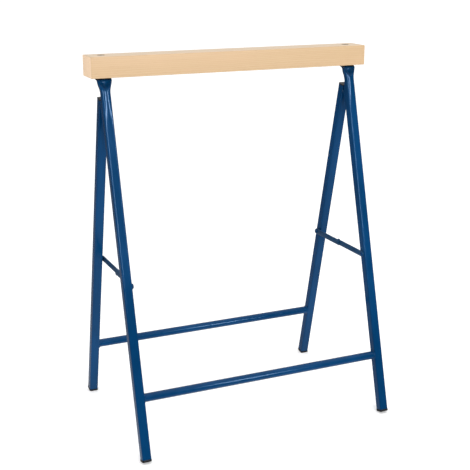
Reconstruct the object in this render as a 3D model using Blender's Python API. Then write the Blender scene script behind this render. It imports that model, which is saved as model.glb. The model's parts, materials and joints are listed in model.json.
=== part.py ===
"""Folding steel sawhorse with a wooden beam.

A front frame carries the beam. A rear frame hangs from it on two short hinges, and a
two-link stay on each side holds the frames apart. The beam runs along X, the front legs
lean towards -Y, and the floor is at Z = 0. The origin is on the floor, in the middle of
the standing object. Everything is in metres.
"""
import math

import bmesh
import bpy
from mathutils import Matrix, Vector

# Driving dimensions
HEIGHT = 0.750
BEAM_LENGTH = 0.585
BEAM_WIDTH = 0.056
BEAM_THICKNESS = 0.040
BEAM_EDGE_RADIUS = 0.0015
BEAM_Y = 0.0176
STANDING_DEPTH = 0.376
LEG_X = 0.2635
FRONT_LEAN = math.radians(15.1)
REAR_LEAN = math.radians(13.5)

# Square leg tube
TUBE = 0.018
WALL = 0.0015
TUBE_RADIUS = 0.0026
CORNER_STEPS = 4
FACE_STEPS = 6

# Crossbars
CROSSBAR_HEIGHT = 0.119
CROSSBAR_RADIUS = 0.0083
CROSSBAR_WALL = 0.0012

# Plastic plugs in the tube ends
PLUG_SIZE = 0.0188
PLUG_RADIUS = 0.0030
FOOT_THICKNESS = 0.0045
CAP_THICKNESS = 0.0020
PLUG_STEM = 0.014
PLUG_EDGE = 0.0006

# Pressed top of a front leg, with heights measured from the floor
BACK_PRESS_START = 0.6600
BACK_PRESS_END = 0.6790
FRONT_PRESS_START = 0.6838
FRONT_PRESS_END = 0.6990
FRONT_PRESS_CURVE = 0.0085
FLARE_START = 0.6800
FLARE_WIDTH = 0.0310
PRESS_TOP = 0.7000
PRESS_STEPS = 16
BORE_CLEARANCE = 0.0020
DISH_DEPTH = 0.0050
PRESSED_THICKNESS = 0.0030
TAB_BEND_RADIUS = 0.0085
TAB_BEND_STEPS = 8
DISH_FADE = 1.8
TAB_LENGTH = 0.0172

# Beam fixings
BOLT_OFFSET = 0.004
BOLT_Y = BEAM_Y + BOLT_OFFSET
BOLT_RADIUS = 0.0030
BOLT_HEAD_RADIUS = 0.0062
BOLT_HEAD_HEIGHT = 0.0034
BOLT_LENGTH = 0.0480
BOLT_EDGE = 0.0008
COUNTERBORE_RADIUS = 0.0075
COUNTERBORE_DEPTH = 0.0040
WASHER_RADIUS = 0.0058
WASHER_THICKNESS = 0.0012
NUT_ACROSS_FLATS = 0.0100
NUT_HEIGHT = 0.0050

# Hinges between the frames
HINGE_OFFSET = 0.0033
HINGE_WIDTH = 0.0160
HINGE_LEAF_THICKNESS = 0.0015
HINGE_LEAF_LENGTH = 0.0240
HINGE_KNUCKLE_RADIUS = 0.0028
HINGE_PIN_RADIUS = 0.0014
HINGE_PIN_HEAD_RADIUS = 0.0026
HINGE_PIN_HEAD = 0.0008
HINGE_LEAF_DROP = 0.0034
HINGE_WEB_OVERLAP = 0.0010
HINGE_FRONT_KNUCKLE_START = 0.0030
HINGE_REAR_KNUCKLE_END = 0.0027
REAR_LEG_TOP = 0.6647

# Folding stays
STAY_HEIGHT = 0.326
STAY_WIDTH = 0.012
STAY_EYE_RADIUS = 0.0076
STAY_THICKNESS = 0.0020
STAY_EDGE_BEVEL = 0.0004
STAY_END_STEPS = 10
RIVET_RADIUS = 0.0025
RIVET_HEAD_RADIUS = 0.0050
RIVET_HEAD_HEIGHT = 0.0018
RIVET_TAIL_RADIUS = 0.0036
RIVET_TAIL_HEIGHT = 0.0030
RIVET_TAIL_TAPER = 0.8
RIVET_DOME = ((1.0, 0.55), (0.65, 0.86), (0.25, 1.0), (0.0, 1.0))
SPACER_RADIUS = 0.0055

GAP = 0.0003
CUT_PAST = 0.0050
ROUND_STEPS = 24
SMALL_ROUND_STEPS = 16
SHARP_ANGLE = math.radians(35)
BEVEL_ANGLE = math.radians(50)

BEAM_UNDERSIDE = HEIGHT - BEAM_THICKNESS


# Materials
def make_material(name, colour, roughness, metallic=0.0):
    """Return a Principled BSDF material."""
    material = bpy.data.materials.new(name)
    material.use_nodes = True
    material.diffuse_color = (*colour, 1.0)
    shader = material.node_tree.nodes["Principled BSDF"]
    shader.inputs["Base Color"].default_value = (*colour, 1.0)
    shader.inputs["Roughness"].default_value = roughness
    shader.inputs["Metallic"].default_value = metallic
    return material


def make_materials():
    """Return the materials by name."""
    return {
        "wood": make_material("pine", (0.78, 0.55, 0.31), 0.55),
        "paint": make_material("blue_paint", (0.006, 0.050, 0.150), 0.35),
        "plastic": make_material("black_plastic", (0.015, 0.015, 0.017), 0.50),
        "steel": make_material("dark_steel", (0.10, 0.095, 0.09), 0.40, 0.9),
        "stay": make_material("painted_stay", (0.020, 0.055, 0.120), 0.40),
    }


# Small geometry helpers
def add_object(name, mesh_data, material, parent, location, rotation_x=0.0):
    """Put a bmesh in the scene as one named object, at a world location."""
    bmesh.ops.recalc_face_normals(mesh_data, faces=mesh_data.faces)
    mesh = bpy.data.meshes.new(name)
    mesh_data.to_mesh(mesh)
    mesh_data.free()
    mesh.materials.append(material)
    mesh.shade_smooth()
    mesh.set_sharp_from_angle(angle=SHARP_ANGLE)
    item = bpy.data.objects.new(name, mesh)
    bpy.context.scene.collection.objects.link(item)
    item.parent = parent
    item.location = Vector(location) - parent.location
    item.rotation_euler = (rotation_x, 0.0, 0.0)
    return item


def add_empty(name, location):
    """Add an empty that carries the pieces of one moving body."""
    empty = bpy.data.objects.new(name, None)
    empty.empty_display_size = 0.02
    empty.location = location
    bpy.context.scene.collection.objects.link(empty)
    return empty


def add_cutter(name, mesh_data, parent, location, rotation_x=0.0):
    """Add a hidden cutting body."""
    bmesh.ops.recalc_face_normals(mesh_data, faces=mesh_data.faces)
    mesh = bpy.data.meshes.new(name)
    mesh_data.to_mesh(mesh)
    mesh_data.free()
    cutter = bpy.data.objects.new(name, mesh)
    bpy.context.scene.collection.objects.link(cutter)
    cutter.parent = parent
    cutter.location = Vector(location) - parent.location
    cutter.rotation_euler = (rotation_x, 0.0, 0.0)
    cutter.hide_render = True
    cutter.display_type = "WIRE"
    return cutter


def apply_boolean(item, operand, operation):
    """Add an exact Boolean modifier to an object."""
    modifier = item.modifiers.new(operation.lower(), "BOOLEAN")
    modifier.operation = operation
    modifier.solver = "EXACT"
    modifier.object = operand


def add_bevel(item, width, segments):
    """Round an object's sharp edges."""
    modifier = item.modifiers.new("bevel", "BEVEL")
    modifier.width = width
    modifier.segments = segments
    modifier.limit_method = "ANGLE"
    modifier.angle_limit = BEVEL_ANGLE


def rounded_square(size, radius, steps=CORNER_STEPS):
    """Return the outline of a rounded square as (x, y) points, anticlockwise."""
    inset = size / 2 - radius
    centres = ((inset, inset), (-inset, inset), (-inset, -inset), (inset, -inset))
    points = []
    for quarter, (x, y) in enumerate(centres):
        for step in range(steps + 1):
            angle = (quarter + step / steps) * math.pi / 2
            points.append((x + radius * math.cos(angle), y + radius * math.sin(angle)))
    return points


def circle(radius, steps):
    """Return a circle as (x, y) points, anticlockwise."""
    turns = (2 * math.pi * (step + 0.5) / steps for step in range(steps))
    return [(radius * math.cos(turn), radius * math.sin(turn)) for turn in turns]


def hexagon(apothem, steps):
    """Return a hexagon with extra points along its sides, anticlockwise."""
    points = []
    for step in range(steps):
        angle = 2 * math.pi * (step + 0.5) / steps
        from_flat = (angle + math.pi / 6) % (math.pi / 3) - math.pi / 6
        radius = apothem / math.cos(from_flat)
        points.append((radius * math.cos(angle), radius * math.sin(angle)))
    return points


def add_ring(mesh_data, points):
    """Add a closed ring of vertices."""
    return [mesh_data.verts.new(point) for point in points]


def join_rings(mesh_data, first, second):
    """Fill the band between two rings that have the same number of points."""
    count = len(first)
    for index in range(count):
        after = (index + 1) % count
        mesh_data.faces.new((first[index], first[after], second[after], second[index]))


def close_ring(mesh_data, ring):
    """Fill a ring with one face."""
    mesh_data.faces.new(ring)


def box(size, centre=(0.0, 0.0, 0.0)):
    """Build a box."""
    mesh_data = bmesh.new()
    bmesh.ops.create_cube(mesh_data, size=1.0)
    bmesh.ops.scale(mesh_data, vec=size, verts=mesh_data.verts)
    bmesh.ops.translate(mesh_data, vec=centre, verts=mesh_data.verts)
    return mesh_data


def solid_along_z(stations):
    """Build a solid from outlines given as (z, points), with both ends closed."""
    mesh_data = bmesh.new()
    rings = [add_ring(mesh_data, [(x, y, z) for x, y in points]) for z, points in stations]
    for first, second in zip(rings[:-1], rings[1:]):
        join_rings(mesh_data, first, second)
    close_ring(mesh_data, rings[0])
    close_ring(mesh_data, rings[-1])
    return mesh_data


def hollow_along_z(outer, inner, low, high):
    """Build a tube, open at both ends, from two outlines with equal point counts."""
    mesh_data = bmesh.new()
    rings = [
        add_ring(mesh_data, [(x, y, z) for x, y in outline])
        for outline, z in ((outer, low), (outer, high), (inner, high), (inner, low))
    ]
    for index in range(4):
        join_rings(mesh_data, rings[index], rings[(index + 1) % 4])
    return mesh_data


def turned_along_x(profile, steps=ROUND_STEPS):
    """Build a solid of revolution about X from (x, radius) points, with flat ends."""
    mesh_data = solid_along_z([(x, circle(radius, steps)) for x, radius in profile])
    bmesh.ops.transform(mesh_data, matrix=Matrix.Rotation(math.pi / 2, 4, "Y"), verts=mesh_data.verts)
    return mesh_data


# Layout of the frames
class LegLine:
    """The centre line of a leaning leg, from the middle of its foot's sole upwards."""

    def __init__(self, side, lean):
        """side is -1 for the front legs and +1 for the rear legs."""
        half_foot = PLUG_SIZE / 2
        reach = half_foot * math.cos(lean) - PLUG_EDGE * math.sin(lean)
        self.side = side
        self.lean = lean
        self.rise = Vector((0.0, -side * math.sin(lean), math.cos(lean)))
        foot_height = (half_foot - PLUG_EDGE) * math.sin(lean)
        self.foot = Vector((0.0, side * (STANDING_DEPTH / 2 - reach), foot_height))
        self.inward = Vector((0.0, -side * math.cos(lean), -math.sin(lean)))
        self.rotation_x = side * lean

    def at_height(self, height):
        """Return the point of the centre line at a height above the floor."""
        return self.foot + self.rise * ((height - self.foot.z) / self.rise.z)

    def distance_along(self, height):
        """Return how far along the centre line a height is."""
        return (height - self.foot.z) / self.rise.z


FRONT_LINE = LegLine(-1, FRONT_LEAN)
REAR_LINE = LegLine(1, REAR_LEAN)


def hinge_centre():
    """Return the point that is equally far from the facing sides of both legs."""
    reach = TUBE / 2 + HINGE_OFFSET
    front, rear = FRONT_LINE, REAR_LINE
    rows = Matrix(((front.inward.y, front.inward.z), (rear.inward.y, rear.inward.z)))
    values = Vector((front.foot.dot(front.inward) + reach, rear.foot.dot(rear.inward) + reach))
    y, z = rows.inverted() @ values
    return Vector((0.0, y, z))


HINGE = hinge_centre()


def mirrored_sides():
    """Yield each side's name and its sign along X."""
    yield "left", -1
    yield "right", 1


# Beam and its fixings
def make_beam(materials, parent):
    """The wooden beam, drilled and counterbored for its two bolts."""
    centre = (0.0, BEAM_Y, HEIGHT - BEAM_THICKNESS / 2)
    timber = box((BEAM_LENGTH, BEAM_WIDTH, BEAM_THICKNESS))
    beam = add_object("beam", timber, materials["wood"], parent, centre)
    add_bevel(beam, BEAM_EDGE_RADIUS, 2)
    counterbore_floor = HEIGHT - COUNTERBORE_DEPTH
    drill = circle(BOLT_RADIUS + GAP, ROUND_STEPS)
    counterbore = circle(COUNTERBORE_RADIUS, ROUND_STEPS)
    for side, sign in mirrored_sides():
        hole = solid_along_z([
            (BEAM_UNDERSIDE - CUT_PAST, drill),
            (counterbore_floor, drill),
            (counterbore_floor, counterbore),
            (HEIGHT + CUT_PAST, counterbore),
        ])
        cutter = add_cutter(f"beam_hole_{side}", hole, parent, (sign * LEG_X, BOLT_Y, 0.0))
        apply_boolean(beam, cutter, "DIFFERENCE")


def make_beam_fixing(side, sign, materials, parent):
    """One bolt through the beam, with its washer and nut under the leg's tab."""
    place = (sign * LEG_X, BOLT_Y, 0.0)
    under_head = HEIGHT - COUNTERBORE_DEPTH + GAP
    shank = circle(BOLT_RADIUS, ROUND_STEPS)
    bolt = solid_along_z([
        (under_head - BOLT_LENGTH, circle(BOLT_RADIUS - BOLT_EDGE, ROUND_STEPS)),
        (under_head - BOLT_LENGTH + BOLT_EDGE, shank),
        (under_head, shank),
        (under_head, circle(BOLT_HEAD_RADIUS, ROUND_STEPS)),
        (under_head + BOLT_HEAD_HEIGHT - BOLT_EDGE, circle(BOLT_HEAD_RADIUS, ROUND_STEPS)),
        (under_head + BOLT_HEAD_HEIGHT, circle(BOLT_HEAD_RADIUS - BOLT_EDGE, ROUND_STEPS)),
    ])
    add_object(f"beam_bolt_{side}", bolt, materials["steel"], parent, place)

    hole = circle(BOLT_RADIUS + GAP, ROUND_STEPS)
    washer_top = BEAM_UNDERSIDE - GAP - PRESSED_THICKNESS - GAP
    washer = hollow_along_z(circle(WASHER_RADIUS, ROUND_STEPS), hole,
                            washer_top - WASHER_THICKNESS, washer_top)
    add_object(f"beam_washer_{side}", washer, materials["steel"], parent, place)

    nut_top = washer_top - WASHER_THICKNESS - GAP
    nut = hollow_along_z(hexagon(NUT_ACROSS_FLATS / 2, ROUND_STEPS), hole, nut_top - NUT_HEIGHT, nut_top)
    add_object(f"beam_nut_{side}", nut, materials["steel"], parent, place)


# Front legs
def smooth_step(value, start, end):
    """Rise smoothly from 0 at start to 1 at end."""
    part = min(max((value - start) / (end - start), 0.0), 1.0)
    return part * part * (3 - 2 * part)


def mix(first, second, share):
    """Blend two values."""
    return first + (second - first) * share


def leg_outline(size, radius):
    """Return a rounded square outline with extra points along its front and back sides."""
    corners = rounded_square(size, radius)
    group = CORNER_STEPS + 1
    inset = size / 2 - radius
    back = [(mix(inset, -inset, step / FACE_STEPS), size / 2) for step in range(1, FACE_STEPS)]
    front = [(mix(-inset, inset, step / FACE_STEPS), -size / 2) for step in range(1, FACE_STEPS)]
    return corners[:group] + back + corners[group:3 * group] + front + corners[3 * group:]


def pressed_outline(height, flatness_left):
    """Return a front leg's outline at a height, as it turns from a square into a wide strip."""
    back_press = smooth_step(height, BACK_PRESS_START, BACK_PRESS_END)
    dish = DISH_DEPTH * smooth_step(height, FRONT_PRESS_START, FRONT_PRESS_END) * flatness_left
    flare = smooth_step(height, FLARE_START, BEAM_UNDERSIDE)
    half_width = mix(TUBE, FLARE_WIDTH, flare) / 2
    points = []
    for x, y in leg_outline(TUBE, TUBE_RADIUS):
        across = x / (TUBE / 2)
        pressed = -dish * across * across + y / (TUBE / 2) * PRESSED_THICKNESS / 2
        if y > 0:
            share = back_press
        else:
            lower = height - FRONT_PRESS_CURVE * across * across
            share = smooth_step(lower, FRONT_PRESS_START, FRONT_PRESS_END)
        points.append((across * half_width, mix(y, pressed, share)))
    return points


def leg_path():
    """Yield (centre, direction, outline height, share of dish left) up a leg's top and its tab."""
    line = FRONT_LINE
    bend_angle = math.pi / 2 - FRONT_LEAN
    tab_middle = BEAM_UNDERSIDE - GAP - PRESSED_THICKNESS / 2
    bend_start = tab_middle - TAB_BEND_RADIUS * (1 - math.cos(bend_angle))
    for step in range(PRESS_STEPS + 1):
        height = mix(BACK_PRESS_START, PRESS_TOP, step / PRESS_STEPS)
        yield line.at_height(height), line.rise, height, 1.0
    start = line.at_height(bend_start)
    for step in range(TAB_BEND_STEPS + 1):
        up = bend_angle * (1 - step / TAB_BEND_STEPS)
        forward = TAB_BEND_RADIUS * (math.sin(bend_angle) - math.sin(up))
        climb = TAB_BEND_RADIUS * (math.cos(up) - math.cos(bend_angle))
        centre = start + Vector((0.0, forward, climb))
        direction = Vector((0.0, math.cos(up), math.sin(up)))
        height = mix(bend_start, BEAM_UNDERSIDE, step / TAB_BEND_STEPS)
        yield centre, direction, height, max(1 - DISH_FADE * step / TAB_BEND_STEPS, 0.0)
    yield centre + Vector((0.0, TAB_LENGTH, 0.0)), Vector((0.0, 1.0, 0.0)), BEAM_UNDERSIDE, 0.0


def place_outline(centre, direction, points):
    """Turn an outline's (x, depth) points into points in space, square to a direction."""
    across = Vector((1.0, 0.0, 0.0))
    depth = direction.cross(across)
    return [centre + across * x + depth * y for x, y in points]


def make_front_leg(side, sign, materials, parent):
    """A square tube whose top is pressed flat, flared and bent back under the beam."""
    line = FRONT_LINE
    low = line.foot + line.rise * (FOOT_THICKNESS + GAP)
    mesh_data = bmesh.new()
    square = leg_outline(TUBE, TUBE_RADIUS)
    outer = [add_ring(mesh_data, place_outline(low, line.rise, square))]
    for centre, direction, height, flatness_left in leg_path():
        outline = pressed_outline(height, flatness_left)
        outer.append(add_ring(mesh_data, place_outline(centre, direction, outline)))
    for first, second in zip(outer[:-1], outer[1:]):
        join_rings(mesh_data, first, second)
    close_ring(mesh_data, outer[-1])

    bore = leg_outline(TUBE - 2 * WALL, TUBE_RADIUS - WALL)
    inner = [add_ring(mesh_data, place_outline(low, line.rise, bore))]
    bore_top = line.at_height(BACK_PRESS_START - BORE_CLEARANCE)
    inner.append(add_ring(mesh_data, place_outline(bore_top, line.rise, bore)))
    join_rings(mesh_data, outer[0], inner[0])
    join_rings(mesh_data, inner[0], inner[1])
    close_ring(mesh_data, inner[1])

    leg = add_object(f"front_leg_{side}", mesh_data, materials["paint"], parent, (sign * LEG_X, 0.0, 0.0))
    drill = circle(BOLT_RADIUS + GAP, ROUND_STEPS)
    tab_underside = BEAM_UNDERSIDE - GAP - PRESSED_THICKNESS
    bolt_hole = solid_along_z([(tab_underside - CUT_PAST, drill), (BEAM_UNDERSIDE + CUT_PAST, drill)])
    cutter = add_cutter(f"tab_hole_{side}", bolt_hole, parent, (sign * LEG_X, BOLT_Y, 0.0))
    apply_boolean(leg, cutter, "DIFFERENCE")
    cut_rivet_hole(leg, f"front_leg_rivet_hole_{side}", sign, FRONT_LINE.at_height(STAY_HEIGHT), parent)


# Rear legs
def make_rear_leg(side, sign, materials, parent):
    """A plain square tube, cut square at both ends."""
    line = REAR_LINE
    corner_rise = (TUBE / 2) * math.sin(line.lean)
    top = line.distance_along(REAR_LEG_TOP + corner_rise)
    bore = leg_outline(TUBE - 2 * WALL, TUBE_RADIUS - WALL)
    mesh_data = hollow_along_z(leg_outline(TUBE, TUBE_RADIUS), bore, FOOT_THICKNESS + GAP, top)
    place = line.foot + Vector((sign * LEG_X, 0.0, 0.0))
    leg = add_object(f"rear_leg_{side}", mesh_data, materials["paint"], parent, place, line.rotation_x)
    cut_rivet_hole(leg, f"rear_leg_rivet_hole_{side}", sign, REAR_LINE.at_height(STAY_HEIGHT), parent)
    return top


def cut_rivet_hole(leg, name, sign, centre, parent):
    """Drill a leg's inner wall for a stay's rivet."""
    ends = (-sign * (TUBE / 2 + GAP), -sign * (TUBE / 2 - 2 * WALL))
    drill = turned_along_x([(x, RIVET_RADIUS + GAP) for x in ends], SMALL_ROUND_STEPS)
    cutter = add_cutter(name, drill, parent, centre + Vector((sign * LEG_X, 0.0, 0.0)))
    apply_boolean(leg, cutter, "DIFFERENCE")


# Plugs
def make_plug(name, line, sign, thickness, place_along, upside_down, materials, parent):
    """A plastic plug: a head as wide as the tube and a stem inside it."""
    stem_size = TUBE - 2 * WALL - 2 * GAP
    head = rounded_square(PLUG_SIZE, PLUG_RADIUS)
    sole = rounded_square(PLUG_SIZE - 2 * PLUG_EDGE, PLUG_RADIUS - PLUG_EDGE)
    stem = rounded_square(stem_size, TUBE_RADIUS - WALL)
    tip = rounded_square(stem_size - 2 * PLUG_EDGE, TUBE_RADIUS - WALL)
    mesh_data = solid_along_z([
        (0.0, sole),
        (PLUG_EDGE, head),
        (thickness, head),
        (thickness, stem),
        (thickness + PLUG_STEM - PLUG_EDGE, stem),
        (thickness + PLUG_STEM, tip),
    ])
    if upside_down:
        bmesh.ops.transform(mesh_data, matrix=Matrix.Rotation(math.pi, 4, "X"), verts=mesh_data.verts)
    place = line.foot + line.rise * place_along + Vector((sign * LEG_X, 0.0, 0.0))
    add_object(name, mesh_data, materials["plastic"], parent, place, line.rotation_x)


# Crossbars
def make_crossbar(name, line, materials, parent):
    """A round tube welded between two legs."""
    half_length = LEG_X - TUBE / 2 - GAP
    outside = circle(CROSSBAR_RADIUS, ROUND_STEPS)
    bore = circle(CROSSBAR_RADIUS - CROSSBAR_WALL, ROUND_STEPS)
    mesh_data = hollow_along_z(outside, bore, -half_length, half_length)
    bmesh.ops.transform(mesh_data, matrix=Matrix.Rotation(math.pi / 2, 4, "Y"), verts=mesh_data.verts)
    add_object(name, mesh_data, materials["paint"], parent, line.at_height(CROSSBAR_HEIGHT), line.rotation_x)


# Hinges
def make_hinge_leaf(name, line, sign, knuckles, materials, parent):
    """A leaf on a leg's facing side, with its share of the knuckles round the pin."""
    offset = line.side * (HINGE_OFFSET - GAP - HINGE_LEAF_THICKNESS / 2)
    plate = box((HINGE_WIDTH, HINGE_LEAF_THICKNESS, HINGE_LEAF_LENGTH),
                (0.0, offset, -HINGE_LEAF_DROP - HINGE_LEAF_LENGTH / 2))
    place = HINGE + Vector((sign * LEG_X, 0.0, 0.0))
    leaf = add_object(name, plate, materials["paint"], parent, place, line.rotation_x)
    web_height = HINGE_LEAF_DROP + HINGE_WEB_OVERLAP
    for index, (start, end) in enumerate(knuckles):
        web = box((end - start, HINGE_LEAF_THICKNESS, web_height),
                  ((start + end) / 2, offset, -web_height / 2))
        barrel = turned_along_x([(x, HINGE_KNUCKLE_RADIUS) for x in (start, end)], SMALL_ROUND_STEPS)
        for label, body in (("web", web), ("barrel", barrel)):
            operand = add_cutter(f"{name}_{label}_{index}", body, parent, place, line.rotation_x)
            apply_boolean(leaf, operand, "UNION")
    ends = (-HINGE_WIDTH, HINGE_WIDTH)
    bore = turned_along_x([(x, HINGE_PIN_RADIUS + GAP) for x in ends], SMALL_ROUND_STEPS)
    apply_boolean(leaf, add_cutter(f"{name}_bore", bore, parent, place, line.rotation_x), "DIFFERENCE")


def make_hinge_pin(side, sign, materials, parent):
    """A headed pin through the knuckles."""
    shank = HINGE_WIDTH / 2 + GAP
    pin = turned_along_x([
        (-shank - HINGE_PIN_HEAD, HINGE_PIN_HEAD_RADIUS),
        (-shank, HINGE_PIN_HEAD_RADIUS),
        (-shank, HINGE_PIN_RADIUS),
        (shank, HINGE_PIN_RADIUS),
        (shank, HINGE_PIN_HEAD_RADIUS),
        (shank + HINGE_PIN_HEAD, HINGE_PIN_HEAD_RADIUS),
    ], SMALL_ROUND_STEPS)
    add_object(f"hinge_pin_{side}", pin, materials["paint"], parent, HINGE + Vector((sign * LEG_X, 0.0, 0.0)))


# Stays
def stay_layout():
    """Return the front pivot, the elbow and the rear pivot of a stay."""
    front = FRONT_LINE.at_height(STAY_HEIGHT)
    rear = REAR_LINE.at_height(STAY_HEIGHT)
    return front, (front + rear) / 2, rear


def layer_start(layer):
    """Return how far the inner face of a leg is from the near side of a layer of stay links."""
    return GAP + layer * (STAY_THICKNESS + GAP)


def link_outline(span, eye_radius):
    """Return a link's outline as (y, z) points, from its pivot at 0 to its round eye at span."""
    half = STAY_WIDTH / 2
    opening = math.asin(half / eye_radius)
    outline = []
    for centre, radius, start, end in (
        (span, eye_radius, opening - math.pi, math.pi - opening),
        (0.0, half, math.pi / 2, 3 * math.pi / 2),
    ):
        for step in range(STAY_END_STEPS + 1):
            angle = mix(start, end, step / STAY_END_STEPS)
            outline.append((centre + radius * math.cos(angle), radius * math.sin(angle)))
    return outline


def make_stay_link(name, pivot, elbow, eye_radius, layer, sign, materials, parent):
    """A flat link, rounded at its pivot and with a round eye at the elbow."""
    span = elbow.y - pivot.y
    facing = math.copysign(1.0, span)
    near_face = sign * (LEG_X - TUBE / 2 - layer_start(layer))
    far_face = near_face - sign * STAY_THICKNESS
    mesh_data = bmesh.new()
    outline = link_outline(abs(span), eye_radius)
    rings = [add_ring(mesh_data, [(x, facing * y, z) for y, z in outline]) for x in (near_face, far_face)]
    join_rings(mesh_data, rings[0], rings[1])
    for ring in rings:
        close_ring(mesh_data, ring)
    link = add_object(name, mesh_data, materials["stay"], parent, pivot)
    add_bevel(link, STAY_EDGE_BEVEL, 1)
    for label, y in (("pivot", 0.0), ("elbow", span)):
        ends = (near_face + sign * CUT_PAST, far_face - sign * CUT_PAST)
        drill = turned_along_x([(x, RIVET_RADIUS + GAP) for x in ends], SMALL_ROUND_STEPS)
        cutter = add_cutter(f"{name}_{label}_hole", drill, parent, pivot + Vector((0.0, y, 0.0)))
        apply_boolean(link, cutter, "DIFFERENCE")


def rivet_profile(head_face, tail_face, tail_height, sign):
    """Return a rivet's profile from its domed head to its tail, along X."""
    inward = -sign
    profile = [(head_face + inward * RIVET_HEAD_HEIGHT * rise, RIVET_HEAD_RADIUS * size)
               for rise, size in RIVET_DOME]
    profile += [(head_face, RIVET_RADIUS), (tail_face, RIVET_RADIUS)]
    if tail_height:
        tail_end = tail_face - inward * tail_height
        profile += [(tail_face, RIVET_TAIL_RADIUS), (tail_end, RIVET_TAIL_RADIUS * RIVET_TAIL_TAPER)]
    return profile


def make_leg_rivet(name, pivot, layer, sign, materials, parent):
    """A blind rivet that holds a stay link to the inner wall of a leg."""
    wall_face = sign * (LEG_X - TUBE / 2)
    head_face = sign * (LEG_X - TUBE / 2 - layer_start(layer) - STAY_THICKNESS - GAP)
    tail_face = wall_face + sign * (WALL + GAP)
    profile = rivet_profile(head_face, tail_face, RIVET_TAIL_HEIGHT, sign)
    add_object(name, turned_along_x(profile, SMALL_ROUND_STEPS), materials["paint"], parent, pivot)


def make_elbow_rivet(side, sign, elbow, materials, parent):
    """The headed pin of the elbow, which fills the hole of the link it stays with."""
    inner = LEG_X - TUBE / 2
    head_face = sign * (inner - layer_start(1) - STAY_THICKNESS - GAP)
    tail_face = sign * (inner - layer_start(1))
    rivet = turned_along_x(rivet_profile(head_face, tail_face, 0.0, sign), SMALL_ROUND_STEPS)
    add_object(f"elbow_rivet_{side}", rivet, materials["stay"], parent, elbow)


def make_spacer(side, sign, pivot, materials, parent):
    """A ring between a rear leg and its stay link."""
    bore = circle(RIVET_RADIUS + GAP, ROUND_STEPS)
    mesh_data = hollow_along_z(circle(SPACER_RADIUS, ROUND_STEPS), bore, 0.0, STAY_THICKNESS)
    bmesh.ops.transform(mesh_data, matrix=Matrix.Rotation(-sign * math.pi / 2, 4, "Y"), verts=mesh_data.verts)
    place = pivot + Vector((sign * (LEG_X - TUBE / 2 - GAP), 0.0, 0.0))
    add_object(f"stay_spacer_{side}", mesh_data, materials["paint"], parent, place)


# Bodies
def make_front_frame(materials, parent):
    """The beam and everything that doesn't move when the sawhorse folds."""
    front_pivot = stay_layout()[0]
    inner, outer = HINGE_FRONT_KNUCKLE_START, HINGE_WIDTH / 2
    make_beam(materials, parent)
    make_crossbar("front_crossbar", FRONT_LINE, materials, parent)
    for side, sign in mirrored_sides():
        make_beam_fixing(side, sign, materials, parent)
        make_front_leg(side, sign, materials, parent)
        make_plug(f"front_foot_{side}", FRONT_LINE, sign, FOOT_THICKNESS, 0.0, False, materials, parent)
        make_hinge_leaf(f"front_hinge_leaf_{side}", FRONT_LINE, sign, ((-outer, -inner), (inner, outer)),
                        materials, parent)
        make_hinge_pin(side, sign, materials, parent)
        make_leg_rivet(f"front_stay_rivet_{side}", front_pivot, 0, sign, materials, parent)


def make_rear_frame(materials, parent):
    """The rear legs and what is fixed to them."""
    rear_pivot = stay_layout()[2]
    middle = HINGE_REAR_KNUCKLE_END
    make_crossbar("rear_crossbar", REAR_LINE, materials, parent)
    for side, sign in mirrored_sides():
        top = make_rear_leg(side, sign, materials, parent)
        make_plug(f"rear_foot_{side}", REAR_LINE, sign, FOOT_THICKNESS, 0.0, False, materials, parent)
        make_plug(f"rear_leg_cap_{side}", REAR_LINE, sign, CAP_THICKNESS, top + GAP + CAP_THICKNESS, True,
                  materials, parent)
        make_hinge_leaf(f"rear_hinge_leaf_{side}", REAR_LINE, sign, ((-middle, middle),), materials, parent)
        make_spacer(side, sign, rear_pivot, materials, parent)
        make_leg_rivet(f"rear_stay_rivet_{side}", rear_pivot, 1, sign, materials, parent)


def make_stays(side, sign, materials, front_parent, rear_parent):
    """One side's folding stay."""
    front_pivot, elbow, rear_pivot = stay_layout()
    make_stay_link(f"front_stay_link_{side}", front_pivot, elbow, STAY_EYE_RADIUS, 0, sign, materials,
                   front_parent)
    make_stay_link(f"rear_stay_link_{side}", rear_pivot, elbow, STAY_WIDTH / 2, 1, sign, materials,
                   rear_parent)
    make_elbow_rivet(side, sign, elbow, materials, rear_parent)


def main():
    """Clear the scene and build the sawhorse."""
    for item in list(bpy.data.objects):
        bpy.data.objects.remove(item)
    materials = make_materials()
    front_pivot, _, rear_pivot = stay_layout()
    make_front_frame(materials, add_empty("front_frame", (0.0, 0.0, 0.0)))
    make_rear_frame(materials, add_empty("rear_frame", HINGE))
    for side, sign in mirrored_sides():
        front_parent = add_empty(f"front_stay_{side}", front_pivot)
        rear_parent = add_empty(f"rear_stay_{side}", rear_pivot)
        make_stays(side, sign, materials, front_parent, rear_parent)


main()
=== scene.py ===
"""Looks of a folding steel sawhorse with a wooden beam.

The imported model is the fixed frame. Every piece that shows is remade here from mesh code, in
the place that the frame gives, with rounder forms and procedural materials, and weld beads are
added where the steel pieces join. Everything is in metres, in the frame's own axes.
"""
import json
import math

import bmesh
import bpy
from mathutils import Matrix, Vector, noise

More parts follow.
